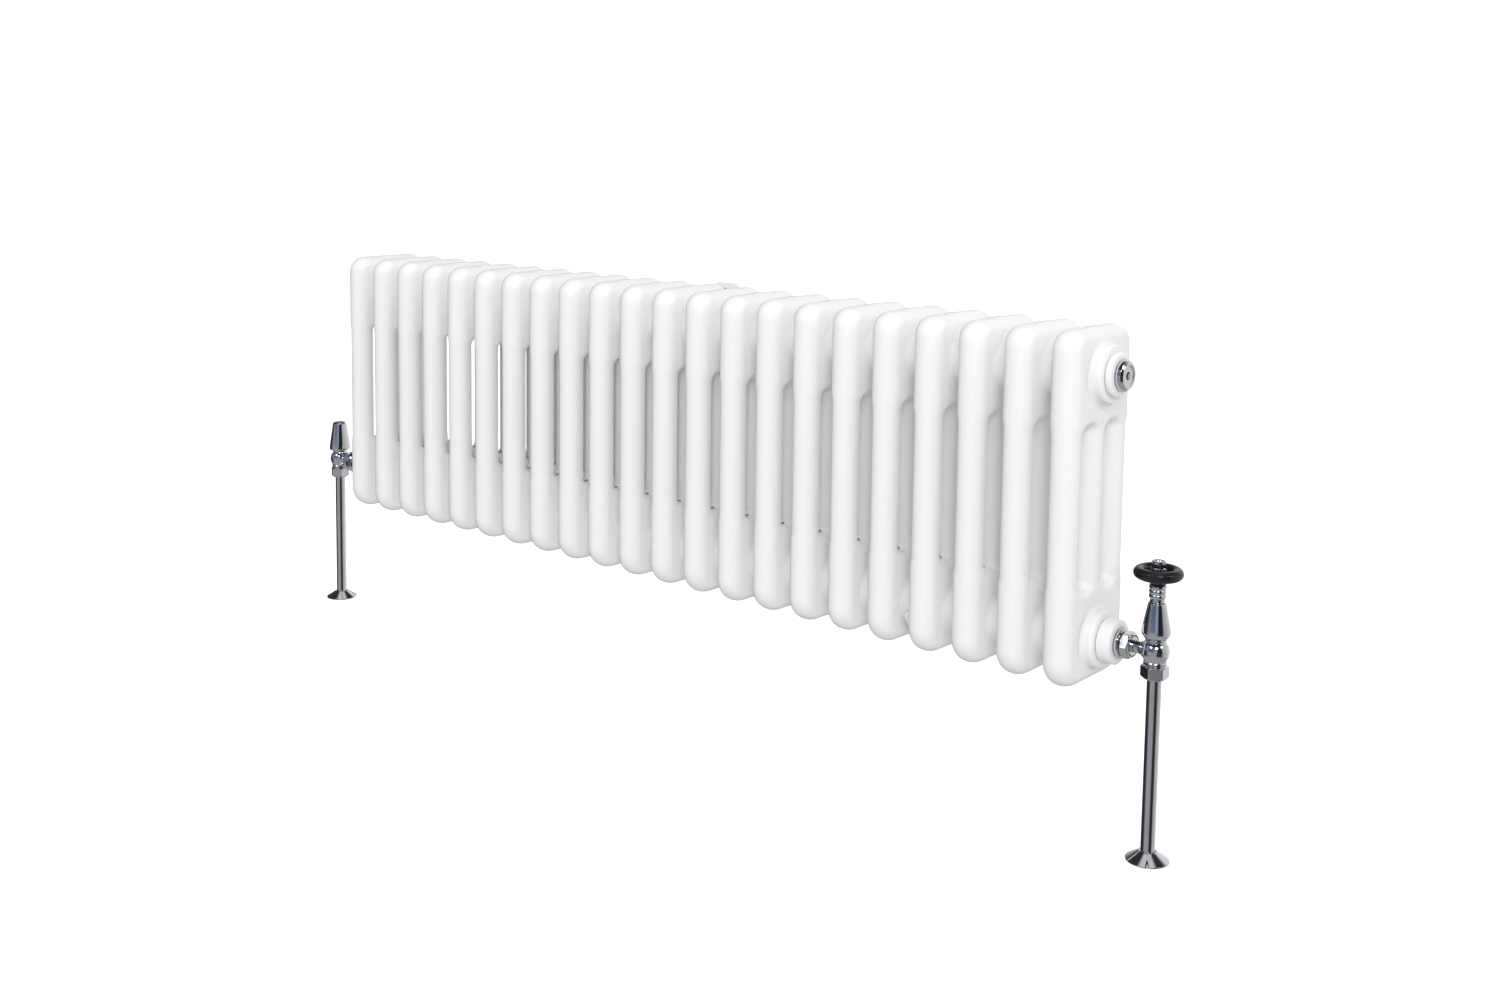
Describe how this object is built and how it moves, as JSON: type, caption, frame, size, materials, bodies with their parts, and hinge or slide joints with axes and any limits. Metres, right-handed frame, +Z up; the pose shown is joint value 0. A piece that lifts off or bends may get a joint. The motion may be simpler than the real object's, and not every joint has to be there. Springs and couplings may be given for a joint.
{
  "type": "column radiator",
  "caption": "Low horizontal column radiator on wall brackets, with a wheel-head valve, a lockshield valve, floor pipes and cover roses.",
  "frame": {"origin": "on the wall, at the back of the upper centre bracket's plate, level with the upper row of hubs, on the centre line of the sections", "axes": "+X along the radiator towards the wheel-head valve, +Y into the wall (the front faces -Y), +Z up"},
  "size_m": [1.1496, 0.133, 0.44],
  "materials": {
    "enamel": "gloss white",
    "chrome": "polished",
    "black_wheel": "gloss",
    "brass": "turned",
    "zinc_steel": "zinc plated"
  },
  "bodies": {
    "radiator": {"section_01": "enamel", "section_02": "enamel", "section_03": "enamel", "section_04": "enamel", "section_05": "enamel", "section_06": "enamel", "section_07": "enamel", "section_08": "enamel", "section_09": "enamel", "section_10": "enamel", "section_11": "enamel", "section_12": "enamel", "section_13": "enamel", "section_14": "enamel", "section_15": "enamel", "section_16": "enamel", "section_17": "enamel", "section_18": "enamel", "section_19": "enamel", "section_20": "enamel", "section_21": "enamel", "section_22": "enamel", "bush_upper_right": "enamel", "bush_lower_right": "enamel", "bush_upper_left": "enamel", "bush_lower_left": "enamel", "bracket_upper_centre": "enamel", "bracket_lower_left": "enamel", "bracket_lower_right": "enamel", "air_vent_plug": "chrome", "blank_plug": "chrome", "wheel_valve_body": "chrome", "wheel_valve_tail": "chrome", "wheel_valve_union_nut": "chrome", "wheel_valve_pipe_nut": "chrome", "wheel_valve_bonnet": "chrome", "wheel_valve_collar": "chrome", "pipe_right": "chrome", "tail_extension": "chrome", "lockshield_body": "chrome", "lockshield_tail": "chrome", "lockshield_union_nut": "chrome", "lockshield_pipe_nut": "chrome", "pipe_left": "chrome", "lockshield_gland": "brass", "screw_top_upper_centre": "zinc_steel", "screw_bottom_upper_centre": "zinc_steel", "screw_top_lower_left": "zinc_steel", "screw_bottom_lower_left": "zinc_steel", "screw_top_lower_right": "zinc_steel", "screw_bottom_lower_right": "zinc_steel"},
    "handwheel": {"handwheel": "black_wheel", "handwheel_nut": "chrome"},
    "wheel_pin": {"wheel_valve_pin": "brass"},
    "lockshield_cap": {"lockshield_cap": "chrome"},
    "lockshield_spindle": {"lockshield_spindle": "brass"},
    "lockshield_disc": {"lockshield_disc": "brass"},
    "bleed_screw": {"bleed_screw": "brass"},
    "rose_right": {"pipe_rose_right": "chrome"},
    "rose_left": {"pipe_rose_left": "chrome"}
  },
  "joints": [
    {"name": "handwheel_turn", "type": "hinge", "parent": "radiator", "child": "handwheel", "pos_m": [0.54, -0.0825, -0.1584], "axis": [0, 0, -1], "range_deg": [0, 300]},
    {"name": "wheel_pin_slide", "type": "slide", "parent": "radiator", "child": "wheel_pin", "axis": [0, 0, -1], "range_m": [0, 0.0028]},
    {"name": "lockshield_cap_lift", "type": "slide", "parent": "radiator", "child": "lockshield_cap", "axis": [0, 0, 1], "range_m": [0, 0.045]},
    {"name": "lockshield_spindle_turn", "type": "hinge", "parent": "radiator", "child": "lockshield_spindle", "pos_m": [-0.572, -0.0825, -0.197], "axis": [0, 0, -1], "range_deg": [0, 1080]},
    {"name": "lockshield_disc_slide", "type": "slide", "parent": "radiator", "child": "lockshield_disc", "axis": [0, 0, -1], "range_m": [0, 0.0029]},
    {"name": "bleed_screw_turn", "type": "hinge", "parent": "radiator", "child": "bleed_screw", "pos_m": [0.505, -0.0825, 0], "axis": [1, 0, 0], "range_deg": [0, 180]},
    {"name": "pipe_rose_right_slide", "type": "slide", "parent": "radiator", "child": "rose_right", "axis": [0, 0, 1], "range_m": [0, 0.1]},
    {"name": "pipe_rose_left_slide", "type": "slide", "parent": "radiator", "child": "rose_left", "axis": [0, 0, 1], "range_m": [0, 0.1]}
  ],
  "couplings": [
    {"joint": "wheel_pin_slide", "follows": "handwheel_turn", "m_per_rad": 0.000477},
    {"joint": "lockshield_disc_slide", "follows": "lockshield_spindle_turn", "m_per_rad": 0.000149}
  ]
}
